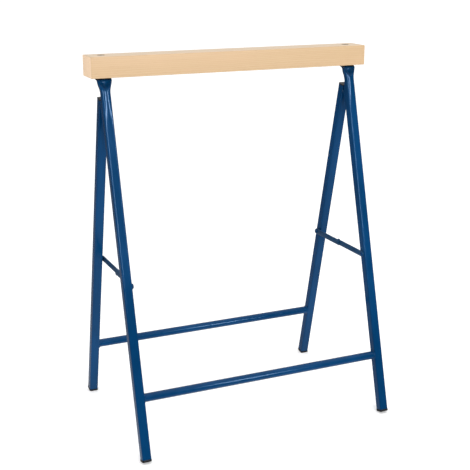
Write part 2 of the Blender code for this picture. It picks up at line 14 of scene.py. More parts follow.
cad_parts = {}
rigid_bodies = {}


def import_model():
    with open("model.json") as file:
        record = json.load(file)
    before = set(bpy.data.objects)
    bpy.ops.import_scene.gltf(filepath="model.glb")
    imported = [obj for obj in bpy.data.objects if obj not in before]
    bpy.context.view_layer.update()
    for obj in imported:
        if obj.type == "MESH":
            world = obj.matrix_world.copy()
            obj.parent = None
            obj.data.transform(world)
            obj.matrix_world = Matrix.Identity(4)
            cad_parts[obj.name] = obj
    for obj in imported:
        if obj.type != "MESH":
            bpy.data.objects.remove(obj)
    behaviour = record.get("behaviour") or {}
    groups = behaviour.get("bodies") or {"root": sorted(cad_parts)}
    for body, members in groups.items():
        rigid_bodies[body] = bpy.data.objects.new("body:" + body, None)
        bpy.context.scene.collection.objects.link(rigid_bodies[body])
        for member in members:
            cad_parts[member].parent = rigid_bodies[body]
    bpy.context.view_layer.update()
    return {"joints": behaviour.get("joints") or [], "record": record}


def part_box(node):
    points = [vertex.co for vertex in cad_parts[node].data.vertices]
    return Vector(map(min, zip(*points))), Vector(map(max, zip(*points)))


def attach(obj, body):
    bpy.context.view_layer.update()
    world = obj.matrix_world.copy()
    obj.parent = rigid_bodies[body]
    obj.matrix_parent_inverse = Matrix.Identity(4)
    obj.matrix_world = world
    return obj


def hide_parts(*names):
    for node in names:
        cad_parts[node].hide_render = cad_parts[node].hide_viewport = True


for old_object in list(bpy.data.objects):
    bpy.data.objects.remove(old_object)
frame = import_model()
JOINTS = {joint["name"]: joint for joint in frame["joints"]}

# Beam and its fixings
BEAM_EDGE = 0.0016
COUNTERBORE_RADIUS = 0.0075
COUNTERBORE_CHAMFER = 0.0005
BOLT_HOLE_RADIUS = 0.0033
BOLT_HEAD_HEIGHT = 0.0034
BOLT_RADIUS = 0.0030
SOCKET_APOTHEM = 0.0020
SOCKET_DEPTH = 0.0019
THREAD_PITCH = 0.0010
THREAD_DEPTH = 0.0004
DOME_ANGLE = math.radians(68)
DOME_STEPS = 8
DOME_RIM = 0.35
DOME_SPREAD = 0.42
NUT_CHAMFER = 0.12
NUT_CORNER = 1.12
NUT_FACE = 0.96
NUT_FACE_CORNER = 0.98

# Legs
TUBE_RADIUS = 0.0026
CORNER_STEPS = 8
FACE_STEPS = 14
CROWN_START = 0.100
CROWN_FULL = 0.030
CROWN = 0.0012
BACK_PRESS = (0.0500, 0.0310)
FRONT_PRESS = (0.0262, 0.0110)
FRONT_PRESS_CURVE = 0.0085
FLARE_START = 0.0300
DISH_DEPTH = 0.0050
DISH_FADE = 1.8
PRESSED_THICKNESS = 0.0030
TAB_BEND_RADIUS = 0.0085
TAB_LENGTH = 0.0172
PRESS_STEPS = 60
PRESS_END = 0.0100
BEND_STEPS = 14

# Plugs, crossbars and welds
FOOT_HEAD = 0.0045
CAP_HEAD = 0.0020
PLUG_CORNER = 0.0030
PLUG_EDGE = 0.0006
PLUG_ROUNDING = 0.0012
PLUG_ROUNDING_SHARE = 0.4
PLUG_NECK = 0.86
ROUND_STEPS = 48
SMALL_ROUND_STEPS = 24
CAD_BAR_SIDES = 24
WELD_RADIUS = 0.0017
WELD_LEAF_RADIUS = 0.0011
WELD_RIPPLE = 0.0040
WELD_SIDES = 10
WELD_BAR_STEPS = 120
WELD_LEAF_STEPS = 40

# Hinges, stays and rivets
HINGE_PIN_RADIUS = 0.0014
HINGE_KNUCKLE_RADIUS = 0.0028
HINGE_LEAF_THICKNESS = 0.0015
HINGE_FRONT_KNUCKLE_START = 0.0030
HINGE_REAR_KNUCKLE_END = 0.0027
HINGE_EDGE = 0.0003
PIN_HEAD_THICKNESS = 0.0008
PIN_HEAD_FACE = 0.8
LINK_HALF_WIDTH = 0.0060
LINK_EDGE = 0.0005
RIVET_RADIUS = 0.0025
RIVET_HEAD_HEIGHT = 0.0018
RIVET_BRIM = 0.0005
DIMPLE_RADIUS = 0.0011

GAP = 0.0003
SHARP_ANGLE = math.radians(38)


# Places that the frame gives
def box_centre(node):
    """Return the middle of a CAD node's box."""
    low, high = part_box(node)
    return (low + high) / 2


def box_size(node):
    """Return the size of a CAD node's box."""
    low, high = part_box(node)
    return high - low


SIDES = (("left", -1), ("right", 1))
BEAM_LOW, BEAM_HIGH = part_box("beam")
BEAM_MIDDLE = (BEAM_LOW + BEAM_HIGH) / 2
SLOTS = {part["node"]: part["material_slot"] for part in frame["record"]["subparts"]}


class Leg:
    """A leg's centre line and tube, read from the frame."""

    def __init__(self, end, side):
        """end is front or rear, and side is left or right."""
        tube_low, tube_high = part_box(f"rear_leg_{side}")
        bar = box_centre(f"{end}_crossbar")
        stay = Vector(JOINTS[f"{end}_stay_turn_{side}"]["pos_m"])
        self.tube = tube_high.x - tube_low.x
        self.plug = box_size(f"{end}_foot_{side}").x
        self.x = (tube_low.x + tube_high.x) / 2
        self.body = f"{end}_frame"
        self.rise = (Vector((0.0, stay.y, stay.z)) - Vector((0.0, bar.y, bar.z))).normalized()
        self.lean = math.acos(self.rise.z)
        sole_height = (self.plug / 2 - PLUG_EDGE) * math.sin(self.lean)
        self.bar = Vector((self.x, bar.y, bar.z))
        self.sole = self.bar + self.rise * ((sole_height - self.bar.z) / self.rise.z)
        self.back = self.rise.cross(Vector((1.0, 0.0, 0.0)))

    def frame_at(self, point):
        """Return a matrix at a point, with X across, Y towards the back and Z up the leg."""
        axes = Matrix((Vector((1.0, 0.0, 0.0)), self.back, self.rise)).transposed()
        return Matrix.Translation(point) @ axes.to_4x4()

    def along(self, distance):
        """Return the point of the centre line at a distance from the sole."""
        return self.sole + self.rise * distance

    def at_height(self, height):
        """Return the point of the centre line at a height."""
        return self.along(self.distance(height))

    def distance(self, height):
        """Return how far from the sole a height is, along the centre line."""
        return (height - self.sole.z) / self.rise.z


# Node trees
class Shader:
    """A material and a short way to add nodes to it."""

    def __init__(self, name, roughness, metallic=0.0):
        self.material = bpy.data.materials.new(name)
        self.material.use_nodes = True
        self.tree = self.material.node_tree
        self.surface = self.tree.nodes["Principled BSDF"]
        self.surface.inputs["Roughness"].default_value = roughness
        self.surface.inputs["Metallic"].default_value = metallic
        self.coordinates = self.tree.nodes.new("ShaderNodeTexCoord").outputs["Object"]

    def node(self, kind, inputs=(), **settings):
        """Add a node, with its inputs given as (name or index, value or socket) pairs."""
        made = self.tree.nodes.new(kind)
        for setting, value in settings.items():
            setattr(made, setting, value)
        for key, value in inputs:
            if isinstance(value, bpy.types.NodeSocket):
                self.tree.links.new(value, made.inputs[key])
            else:
                made.inputs[key].default_value = value
        return made

    def math(self, operation, first, second=0.0):
        """Add a Math node and return its value."""
        return self.node("ShaderNodeMath", [(0, first), (1, second)], operation=operation).outputs[0]

    def scaled(self, scale, location=(0.0, 0.0, 0.0)):
        """Return the object coordinates, moved and then scaled on each axis."""
        moved = self.node("ShaderNodeVectorMath", [(0, self.coordinates), (1, location)], operation="ADD")
        made = self.node("ShaderNodeVectorMath", [(0, moved.outputs[0]), (1, scale)], operation="MULTIPLY")
        return made.outputs[0]

    def noise(self, vector, scale, detail=2.0, roughness=0.5):
        """Return a noise value between 0 and 1."""
        inputs = [("Vector", vector), ("Scale", scale), ("Detail", detail), ("Roughness", roughness)]
        return self.node("ShaderNodeTexNoise", inputs).outputs["Fac"]

    def between(self, value, low, high, to_low=0.0, to_high=1.0):
        """Map a range of a value smoothly onto another range."""
        inputs = [("Value", value), ("From Min", low), ("From Max", high)]
        inputs += [("To Min", to_low), ("To Max", to_high)]
        return self.node("ShaderNodeMapRange", inputs, interpolation_type="SMOOTHSTEP").outputs["Result"]

    def blend(self, share, first, second):
        """Mix two colours."""
        made = self.node("ShaderNodeMix", data_type="RGBA")
        for socket, value in ((made.inputs[0], share), (made.inputs[6], first), (made.inputs[7], second)):
            if isinstance(value, bpy.types.NodeSocket):
                self.tree.links.new(value, socket)
            else:
                socket.default_value = value
        return made.outputs[2]

    def bump(self, height, distance, strength=1.0, normal=None):
        """Add a Bump node and return its normal."""
        inputs = [("Height", height), ("Distance", distance), ("Strength", strength)]
        if normal is not None:
            inputs.append(("Normal", normal))
        return self.node("ShaderNodeBump", inputs).outputs["Normal"]

    def set(self, name, value):
        """Give one of the surface's inputs a value or a socket."""
        if isinstance(value, bpy.types.NodeSocket):
            self.tree.links.new(value, self.surface.inputs[name])
        else:
            self.surface.inputs[name].default_value = value


def rgb(red, green, blue):
    """Return a linear colour."""
    return (red, green, blue, 1.0)


# Materials
# The pith lies below the beam and a little behind it
PITH = Vector((0.0, BEAM_MIDDLE.y + 0.018, BEAM_LOW.z - 0.046))
RING_WIDTH = 0.0031
# How far the painted shade in the bolt recesses blurs at its edges
RECESS_SHADE_BLUR = 0.0004
# Height of the painted shade band on the blue paint just under the beam
PAINTED_SHADE_BAND = 0.0048


def growth_rings(wood):
    """Return how far a point is through its year, from 0 to 1, with rings round a pith below the beam."""
    sway = wood.noise(wood.scaled((1.6, 9.0, 9.0)), 1.0, 2.0)
    ripple = wood.noise(wood.scaled((14.0, 60.0, 60.0)), 1.0, 2.0)
    from_pith = wood.scaled((0.012, 1.0, 1.0), -PITH)
    radius = wood.node("ShaderNodeVectorMath", [(0, from_pith)], operation="LENGTH").outputs["Value"]
    shifted = wood.math("ADD", radius, wood.math("MULTIPLY", sway, 0.016))
    shifted = wood.math("ADD", shifted, wood.math("MULTIPLY", ripple, 0.0014))
    return wood.math("FRACT", wood.math("DIVIDE", shifted, RING_WIDTH))


def painted_recess_shade(wood):
    """Return 1 in the recesses of the two bolts, where shade is painted into the wood as a dark colour, and
    0 elsewhere.
    """
    sunk = wood.node("ShaderNodeSeparateXYZ", [(0, wood.coordinates)]).outputs["Z"]
    depth = wood.between(sunk, BEAM_HIGH.z - RECESS_SHADE_BLUR, BEAM_HIGH.z - RECESS_SHADE_BLUR / 2, 1.0, 0.0)
    edge = COUNTERBORE_RADIUS + RECESS_SHADE_BLUR / 2
    near = 0.0
    for side, _ in SIDES:
        bolt = box_centre(f"beam_bolt_{side}")
        flat = wood.scaled((1.0, 1.0, 0.0), -bolt)
        away = wood.node("ShaderNodeVectorMath", [(0, flat)], operation="LENGTH").outputs["Value"]
        near = wood.math("ADD", near, wood.between(away, edge, COUNTERBORE_RADIUS + RECESS_SHADE_BLUR, 1.0, 0.0))
    return wood.math("MULTIPLY", near, depth)


def make_pine():
    """Planed pine: soft growth rings, long fibres, warm patches and a rougher end grain, with a painted
    sheen on the top face and painted shade in the bolt recesses.
    """
    wood = Shader("pine", 0.50)
    year = growth_rings(wood)
    late = wood.math("MULTIPLY", wood.between(year, 0.35, 0.88), wood.between(year, 1.0, 0.93))
    fibre = wood.noise(wood.scaled((9.0, 620.0, 620.0)), 1.0, 3.0, 0.6)
    fleck = wood.noise(wood.scaled((55.0, 900.0, 900.0)), 1.0, 2.0)
    patch = wood.noise(wood.scaled((5.0, 20.0, 20.0)), 1.0, 2.0)
    colour = wood.blend(late, rgb(0.500, 0.355, 0.207), rgb(0.475, 0.316, 0.171))
    colour = wood.blend(wood.between(patch, 0.35, 0.7, 0.0, 0.50), colour, rgb(0.515, 0.345, 0.202))
    colour = wood.blend(wood.between(fibre, 0.35, 0.7, 0.0, 0.22), colour, rgb(0.440, 0.280, 0.150))
    colour = wood.blend(wood.between(fleck, 0.62, 0.75, 0.0, 0.25), colour, rgb(0.330, 0.195, 0.097))

    normal = wood.node("ShaderNodeNewGeometry").outputs["Normal"]
    facing = wood.node("ShaderNodeSeparateXYZ", [(0, normal)])
    end_grain = wood.between(wood.math("ABSOLUTE", facing.outputs["X"]), 0.75, 0.95)
    pore = wood.noise(wood.scaled((300.0, 1500.0, 1500.0)), 1.0, 2.0)
    end_colour = wood.blend(late, rgb(0.930, 0.690, 0.470), rgb(0.800, 0.540, 0.335))
    end_colour = wood.blend(wood.between(pore, 0.5, 0.7, 0.0, 0.4), end_colour, rgb(0.48, 0.34, 0.22))
    # Painted sheen: upward faces are made paler, standing in for the grazing reflection of the bright sky on
    # the top
    painted_top_sheen = wood.between(facing.outputs["Z"], 0.7, 0.95, 0.0, 0.45)
    colour = wood.blend(painted_top_sheen, colour, rgb(0.740, 0.620, 0.480))
    colour = wood.blend(end_grain, colour, end_colour)
    # Painted shade: the wood turns near-black brown inside the two bolt recesses
    wood.set("Base Color", wood.blend(painted_recess_shade(wood), colour, rgb(0.060, 0.040, 0.026)))
    wood.set("Roughness", wood.between(late, 0.0, 1.0, 0.56, 0.42))
    grain = wood.math("ADD", wood.math("MULTIPLY", fibre, 0.5), wood.math("MULTIPLY", late, 0.35))
    rough_end = wood.math("MULTIPLY", wood.math("MULTIPLY", pore, end_grain), 1.5)
    wood.set("Normal", wood.bump(wood.math("ADD", grain, rough_end), 0.00018, 0.5))
    wood.set("Specular IOR Level", 0.5)
    return wood.material


def make_paint(name, deep, light, gloss):
    """Enamel over steel: slight orange peel, uneven colour, brush drag and faint dust.

    Just under the beam, at the top of the strip where it bends back, the colour turns near black: painted
    shade of the beam.
    """
    paint = Shader(name, gloss)
    cloud = paint.noise(paint.scaled((14.0, 14.0, 6.0)), 1.0, 3.0)
    peel = paint.noise(paint.coordinates, 520.0, 2.0, 0.45)
    drag = paint.noise(paint.scaled((240.0, 240.0, 9.0)), 1.0, 2.0)
    speck = paint.noise(paint.coordinates, 1400.0, 1.0)
    colour = paint.blend(paint.between(cloud, 0.35, 0.68), deep, light)
    colour = paint.blend(paint.between(drag, 0.4, 0.7, 0.0, 0.25), colour, light)
    colour = paint.blend(paint.between(speck, 0.70, 0.78, 0.0, 0.15), colour, rgb(0.05, 0.10, 0.19))
    # Painted shade: near black in a thin, ragged band just below the beam's underside, where the beam shades
    # the bent strip
    height = paint.node("ShaderNodeSeparateXYZ", [(0, paint.coordinates)]).outputs["Z"]
    ragged = paint.math("ADD", height, paint.math("MULTIPLY", paint.noise(paint.coordinates, 400.0), 0.0012))
    scale = paint.between(ragged, BEAM_LOW.z - PAINTED_SHADE_BAND, BEAM_LOW.z - PAINTED_SHADE_BAND * 0.7)
    paint.set("Base Color", paint.blend(scale, colour, rgb(0.004, 0.005, 0.006)))
    paint.set("Roughness", paint.between(cloud, 0.3, 0.7, gloss * 0.85, gloss * 1.25))
    paint.set("Normal", paint.bump(peel, 0.00012, 0.10, paint.bump(drag, 0.00010, 0.06)))
    paint.set("Specular IOR Level", 0.28)
    paint.set("Specular Tint", rgb(0.42, 0.66, 1.0))
    return paint.material


def make_plastic():
    """Black moulded plastic with a fine texture and a scuffed tone."""
    plastic = Shader("black_plastic", 0.45)
    grain = plastic.noise(plastic.coordinates, 1900.0, 2.0)
    scuff = plastic.noise(plastic.scaled((60.0, 60.0, 160.0)), 1.0, 3.0, 0.65)
    worn = plastic.between(scuff, 0.5, 0.75)
    shade = plastic.blend(worn, rgb(0.003, 0.004, 0.006), rgb(0.010, 0.012, 0.015))
    plastic.set("Base Color", shade)
    plastic.set("Specular IOR Level", 0.25)
    plastic.set("Roughness", plastic.between(scuff, 0.4, 0.7, 0.38, 0.62))
    plastic.set("Normal", plastic.bump(grain, 0.00010, 0.5))
    return plastic.material


def make_steel():
    """Blackened steel: a cloudy dark metal with fine turning marks."""
    steel = Shader("dark_steel", 0.38, 1.0)
    cloud = steel.noise(steel.coordinates, 260.0, 3.0, 0.6)
    mark = steel.noise(steel.scaled((900.0, 2600.0, 2600.0)), 1.0, 2.0)
    steel.set("Base Color", steel.blend(cloud, rgb(0.022, 0.021, 0.020), rgb(0.080, 0.074, 0.068)))
    steel.set("Roughness", steel.between(cloud, 0.3, 0.7, 0.34, 0.52))
    steel.set("Normal", steel.bump(mark, 0.00006, 0.4))
    return steel.material


MATERIALS = {
    "wood": make_pine(),
    "paint": make_paint("blue_paint", rgb(0.0002, 0.0275, 0.088), rgb(0.0008, 0.0370, 0.118), 0.12),
    "stay": make_paint("stay_paint", rgb(0.0040, 0.030, 0.080), rgb(0.0080, 0.045, 0.110), 0.34),
    "plastic": make_plastic(),
    "steel": make_steel(),
}


# Mesh helpers
def rounded_rectangle(width, depth, radius, corner_steps, face_steps):
    """Return a rounded rectangle's outline as (x, y) points, with extra points along its sides."""
    corners = []
    for quarter in range(4):
        sign_x = 1 if quarter in (0, 3) else -1
        sign_y = 1 if quarter in (0, 1) else -1
        middle = (sign_x * (width / 2 - radius), sign_y * (depth / 2 - radius))
        for step in range(corner_steps + 1):
            angle = (quarter + step / corner_steps) * math.pi / 2
            corners.append((middle[0] + radius * math.cos(angle), middle[1] + radius * math.sin(angle)))
    points = []
    for quarter in range(4):
        last = (quarter + 1) * (corner_steps + 1) - 1
        start, end = Vector(corners[last]), Vector(corners[(last + 1) % len(corners)])
        points += corners[last - corner_steps:last + 1]
        points += [tuple(start.lerp(end, step / face_steps)) for step in range(1, face_steps)]
    return points


def circle(radius, steps):
    """Return a circle's outline as (x, y) points."""
    turns = (2 * math.pi * (step + 0.5) / steps for step in range(steps))
    return [(radius * math.cos(turn), radius * math.sin(turn)) for turn in turns]


def hexagon(apothem, limit, steps):
    """Return a hexagon's outline with its corners cut off at a radius, as (x, y) points."""
    points = []
    for step in range(steps):
        angle = 2 * math.pi * (step + 0.5) / steps
        from_flat = (angle + math.pi / 6) % (math.pi / 3) - math.pi / 6
        radius = min(apothem / math.cos(from_flat), limit)
        points.append((radius * math.cos(angle), radius * math.sin(angle)))
    return points


def loft(rings, closed=True):
    """Skin a list of rings, and cap both ends."""
    mesh_data = bmesh.new()
    loops = [[mesh_data.verts.new(point) for point in ring] for ring in rings]
    for first, second in zip(loops[:-1], loops[1:]):
        for index in range(len(first)):
            after = (index + 1) % len(first)
            mesh_data.faces.new((first[index], first[after], second[after], second[index]))
    if closed:
        mesh_data.faces.new(loops[0])
        mesh_data.faces.new(loops[-1])
    return mesh_data


def stacked(stations):
    """Loft outlines given as (z, points)."""
    return loft([[Vector((x, y, z)) for x, y in points] for z, points in stations])


def turned(profile, steps):
    """Loft circles given as (z, radius)."""
    return stacked([(z, circle(radius, steps)) for z, radius in profile])


def fillet(radius, steps, low, high, at_end):
    """Return (height, inset) pairs of a rounded edge, running up from low or up to high."""
    pairs = []
    for step in range(steps + 1):
        angle = math.pi / 2 * step / steps
        rise, inset = radius * (1 - math.cos(angle)), radius * (1 - math.sin(angle))
        pairs.append((high - rise, inset) if at_end else (low + rise, inset))
    return sorted(pairs)


def place(mesh_data, matrix):
    """Move a mesh by a matrix."""
    bmesh.ops.transform(mesh_data, matrix=matrix, verts=mesh_data.verts)
    return mesh_data


def add_piece(name, mesh_data, slot, body, replaced=()):
    """Finish a piece: its normals, shading, material, body, and the CAD nodes that it stands for."""
    bmesh.ops.recalc_face_normals(mesh_data, faces=mesh_data.faces)
    mesh = bpy.data.meshes.new(name)
    mesh_data.to_mesh(mesh)
    mesh_data.free()
    mesh.materials.append(MATERIALS[slot])
    mesh.shade_smooth()
    mesh.set_sharp_from_angle(angle=SHARP_ANGLE)
    piece = bpy.data.objects.new(name, mesh)
    bpy.context.scene.collection.objects.link(piece)
    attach(piece, body)
    if replaced:
        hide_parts(*replaced)
    return piece


def smooth_step(value, start, end):
    """Rise smoothly from 0 at start to 1 at end."""
    share = min(max((value - start) / (end - start), 0.0), 1.0)
    return share * share * (3 - 2 * share)


def mix(first, second, share):
    """Blend two values."""
    return first + (second - first) * share


# Turning a local frame's Z axis onto X, with its X axis on Y and its Y axis on Z
Z_TO_X = Matrix(((0.0, 0.0, 1.0), (1.0, 0.0, 0.0), (0.0, 1.0, 0.0))).to_4x4()


# Beam and its fixings
def cut(piece, tools):
    """Cut shapes out of a piece for good."""
    cutters = []
    for index, tool in enumerate(tools):
        bmesh.ops.recalc_face_normals(tool, faces=tool.faces)
        mesh = bpy.data.meshes.new(f"tool_{index}")
        tool.to_mesh(mesh)
        tool.free()
        cutter = bpy.data.objects.new(f"tool_{index}", mesh)
        bpy.context.scene.collection.objects.link(cutter)
        modifier = piece.modifiers.new("cut", "BOOLEAN")
        modifier.operation = "DIFFERENCE"
        modifier.solver = "EXACT"
        modifier.object = cutter
        cutters.append(cutter)
    evaluated = piece.evaluated_get(bpy.context.evaluated_depsgraph_get())
    piece.data = bpy.data.meshes.new_from_object(evaluated)
    piece.modifiers.clear()
    for cutter in cutters:
        bpy.data.objects.remove(cutter)


def make_beam():
    """The planed beam, with eased arrises and two counterbored holes."""
    timber = bmesh.new()
    bmesh.ops.create_cube(timber, size=1.0)
    bmesh.ops.scale(timber, vec=BEAM_HIGH - BEAM_LOW, verts=timber.verts)
    bmesh.ops.bevel(timber, geom=timber.edges[:], offset=BEAM_EDGE, segments=4, profile=0.5, affect="EDGES")
    bmesh.ops.translate(timber, vec=BEAM_MIDDLE, verts=timber.verts)
    beam = add_piece("beam_timber", timber, "wood", "front_frame", ["beam"])
    holes = []
    for side, _ in SIDES:
        bolt_low, bolt_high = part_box(f"beam_bolt_{side}")
        floor = bolt_high.z - BOLT_HEAD_HEIGHT - GAP
        rim = BEAM_HIGH.z - COUNTERBORE_CHAMFER
        profile = [
            (BEAM_LOW.z - BEAM_EDGE, BOLT_HOLE_RADIUS),
            (floor, BOLT_HOLE_RADIUS),
            (floor, COUNTERBORE_RADIUS),
            (rim, COUNTERBORE_RADIUS),
            (BEAM_HIGH.z + BEAM_EDGE, COUNTERBORE_RADIUS + COUNTERBORE_CHAMFER + BEAM_EDGE),
        ]
        middle = (bolt_low + bolt_high) / 2
        holes.append(place(turned(profile, ROUND_STEPS), Matrix.Translation((middle.x, middle.y, 0.0))))
    cut(beam, holes)
    beam.data.set_sharp_from_angle(angle=SHARP_ANGLE)


def make_bolt(side):
    """A button-head bolt with a hexagon socket and a threaded end."""
    low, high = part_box(f"beam_bolt_{side}")
    head_radius = (high.x - low.x) / 2
    nut_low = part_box(f"beam_nut_{side}")[0]
    profile = [(low.z, BOLT_RADIUS - THREAD_DEPTH)]
    turns = int((nut_low.z - low.z) / THREAD_PITCH) + 1
    for turn in range(turns):
        crest = low.z + (turn + 0.5) * THREAD_PITCH
        profile += [(crest, BOLT_RADIUS), (crest + THREAD_PITCH / 2, BOLT_RADIUS - THREAD_DEPTH)]
    under_head = high.z - BOLT_HEAD_HEIGHT
    profile += [(under_head, BOLT_RADIUS), (under_head, head_radius)]
    for step in range(DOME_STEPS + 1):
        turn = DOME_ANGLE * step / DOME_STEPS
        share = (1 - math.cos(turn)) / (1 - math.cos(DOME_ANGLE))
        rise = math.sin(turn) / math.sin(DOME_ANGLE)
        height = under_head + BOLT_HEAD_HEIGHT * mix(DOME_RIM, 1.0, rise)
        profile.append((height, head_radius * (1 - DOME_SPREAD * share)))
    rings = [(z, circle(radius, ROUND_STEPS)) for z, radius in profile]
    socket = hexagon(SOCKET_APOTHEM, 1.0, ROUND_STEPS)
    rings += [(high.z, socket), (high.z - SOCKET_DEPTH, socket)]
    middle = (low + high) / 2
    bolt = place(stacked(rings), Matrix.Translation((middle.x, middle.y, 0.0)))
    add_piece(f"bolt_{side}", bolt, "steel", "front_frame", [f"beam_bolt_{side}"])


def make_nut_and_washer(side):
    """A washer and a chamfered hexagon nut under the leg's tab."""
    low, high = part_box(f"beam_nut_{side}")
    middle = (low + high) / 2
    apothem = (high.x - low.x) / 2
    chamfer = apothem * NUT_CHAMFER
    flank = hexagon(apothem, apothem * NUT_CORNER, ROUND_STEPS)
    face = hexagon(apothem * NUT_FACE, apothem * NUT_FACE_CORNER, ROUND_STEPS)
    nut = stacked([(low.z, face), (low.z + chamfer, flank), (high.z - chamfer, flank), (high.z, face)])
    place(nut, Matrix.Translation((middle.x, middle.y, 0.0)))
    add_piece(f"nut_{side}", nut, "steel", "front_frame", [f"beam_nut_{side}"])

    low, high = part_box(f"beam_washer_{side}")
    radius = (high.x - low.x) / 2
    edge = (high.z - low.z) / 4
    profile = [(low.z, radius - edge), (low.z + edge, radius)]
    profile += [(high.z - edge, radius), (high.z, radius - edge)]
    washer = turned(profile, ROUND_STEPS)
    place(washer, Matrix.Translation((middle.x, middle.y, 0.0)))
    add_piece(f"washer_{side}", washer, "steel", "front_frame", [f"beam_washer_{side}"])


# Legs
def tube_outline(size):
    """Return the outline of a square tube."""
    return rounded_rectangle(size, size, TUBE_RADIUS, CORNER_STEPS, FACE_STEPS)


def pressed_outline(leg, depth, flare_width, dish_left):
    """Return a front leg's outline at a depth below the beam.

    The back is pushed forward first. The front is then dished, lower in the middle than at its
    rims, so that the dish ends in a U, and the face bulges a little just below it.
    """
    half = leg.tube / 2
    back_press = smooth_step(-depth, -BACK_PRESS[0], -BACK_PRESS[1])
    flare = smooth_step(-depth, -FLARE_START, 0.0)
    swell = CROWN * smooth_step(-depth, -CROWN_START, -CROWN_FULL)
    full_press = smooth_step(-depth, -FRONT_PRESS[0], -FRONT_PRESS[1])
    points = []
    for x, y in tube_outline(leg.tube):
        across = x / half
        curve = FRONT_PRESS_CURVE * across * across
        press = smooth_step(-depth, curve - FRONT_PRESS[0], curve - FRONT_PRESS[1])
        bowl = -DISH_DEPTH * full_press * dish_left * across * across
        if y > 0:
            y = mix(y, bowl + y / half * PRESSED_THICKNESS / 2, back_press)
        else:
            crowned = y - swell * max(1 - across * across, 0.0) * (-y / half)
            y = mix(crowned, bowl + y / half * PRESSED_THICKNESS / 2, press)
        points.append((across * mix(half, flare_width / 2, flare), y))
    return points


def outline_at(centre, direction, points):
    """Turn an outline's (x, depth) points into points in space, square to a direction."""
    across = Vector((1.0, 0.0, 0.0))
    depth = direction.cross(across)
    return [centre + across * x + depth * y for x, y in points]


def make_front_leg(side):
    """A square tube whose top is pressed flat, flared and bent back under the beam."""
    leg = Leg("front", side)
    low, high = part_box(f"front_leg_{side}")
    flare_width = high.x - low.x
    underside = high.z
    rings = [outline_at(leg.along(FOOT_HEAD + GAP), leg.rise, tube_outline(leg.tube))]
    for step in range(PRESS_STEPS + 1):
        depth = mix(CROWN_START, PRESS_END, step / PRESS_STEPS)
        outline = pressed_outline(leg, depth, flare_width, 1.0)
        rings.append(outline_at(leg.at_height(underside - depth), leg.rise, outline))

    bend_angle = math.pi / 2 - leg.lean
    tab_middle = underside - PRESSED_THICKNESS / 2
    bend_start = tab_middle - TAB_BEND_RADIUS * (1 - math.cos(bend_angle))
    start = leg.at_height(bend_start)
    for step in range(BEND_STEPS + 1):
        share = step / BEND_STEPS
        up = bend_angle * (1 - share)
        forward = TAB_BEND_RADIUS * (math.sin(bend_angle) - math.sin(up))
        climb = TAB_BEND_RADIUS * (math.cos(up) - math.cos(bend_angle))
        centre = start + Vector((0.0, forward, climb))
        direction = Vector((0.0, math.cos(up), math.sin(up)))
        depth = (underside - bend_start) * (1 - share)
        outline = pressed_outline(leg, depth, flare_width, max(1 - DISH_FADE * share, 0.0))
        rings.append(outline_at(centre, direction, outline))
    flat = Vector((0.0, 1.0, 0.0))
    rings.append(outline_at(centre + flat * TAB_LENGTH, flat, outline))
    add_piece(f"leg_front_{side}", loft(rings), "paint", "front_frame", [f"front_leg_{side}"])


def make_rear_leg(side):
    """A plain square tube."""
    leg = Leg("rear", side)
    top = leg.distance(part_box(f"rear_leg_{side}")[1].z - leg.tube / 2 * math.sin(leg.lean))
    outline = tube_outline(leg.tube)
    rings = [outline_at(leg.along(distance), leg.rise, outline) for distance in (FOOT_HEAD + GAP, top)]
    add_piece(f"leg_rear_{side}", loft(rings), "paint", "rear_frame", [f"rear_leg_{side}"])
    cap_point = leg.along(top + GAP + CAP_HEAD)
    make_plug(f"cap_rear_{side}", leg, cap_point, CAP_HEAD, True, f"rear_leg_cap_{side}")


def make_plug(name, leg, point, head, upside_down, node):
    """A moulded plug with a rounded head and a short neck in the tube."""
    rounding = min(head * PLUG_ROUNDING_SHARE, PLUG_ROUNDING)
    edges = fillet(rounding, 5, 0.0, head, False) + fillet(PLUG_EDGE / 2, 3, 0.0, head, True)
    stations = []
    for height, inset in edges:
        width = leg.plug - 2 * inset
        stations.append((height, rounded_rectangle(width, width, PLUG_CORNER - inset, CORNER_STEPS, 1)))
    neck_width = leg.tube * PLUG_NECK
    neck = rounded_rectangle(neck_width, neck_width, TUBE_RADIUS, CORNER_STEPS, 1)
    stations += [(head, neck), (head + 2 * GAP, neck)]
    plug = stacked(stations)
    if upside_down:
        place(plug, Matrix.Rotation(math.pi, 4, "X"))
    add_piece(name, place(plug, leg.frame_at(point)), "plastic", leg.body, [node])


# Crossbars and welds
def weld_bead(centre_line, radius, closed):
    """Run a rippled bead along points given as (point, outward, along) directions."""
    rings = []
    travelled = 0.0
    before = centre_line[0][0]
    for point, outward, along in centre_line:
        travelled += (point - before).length
        before = point
        side = along.cross(outward)
        swell = 1 + 0.16 * math.cos(2 * math.pi * travelled / WELD_RIPPLE)
        swell += 0.20 * noise.noise(point * 420.0)
        turns = (2 * math.pi * step / WELD_SIDES for step in range(WELD_SIDES))
        rings.append([point + (outward * math.cos(turn) + side * math.sin(turn)) * radius * swell
                      for turn in turns])
    if closed:
        rings.append(rings[0])
    return loft(rings, closed=not closed)


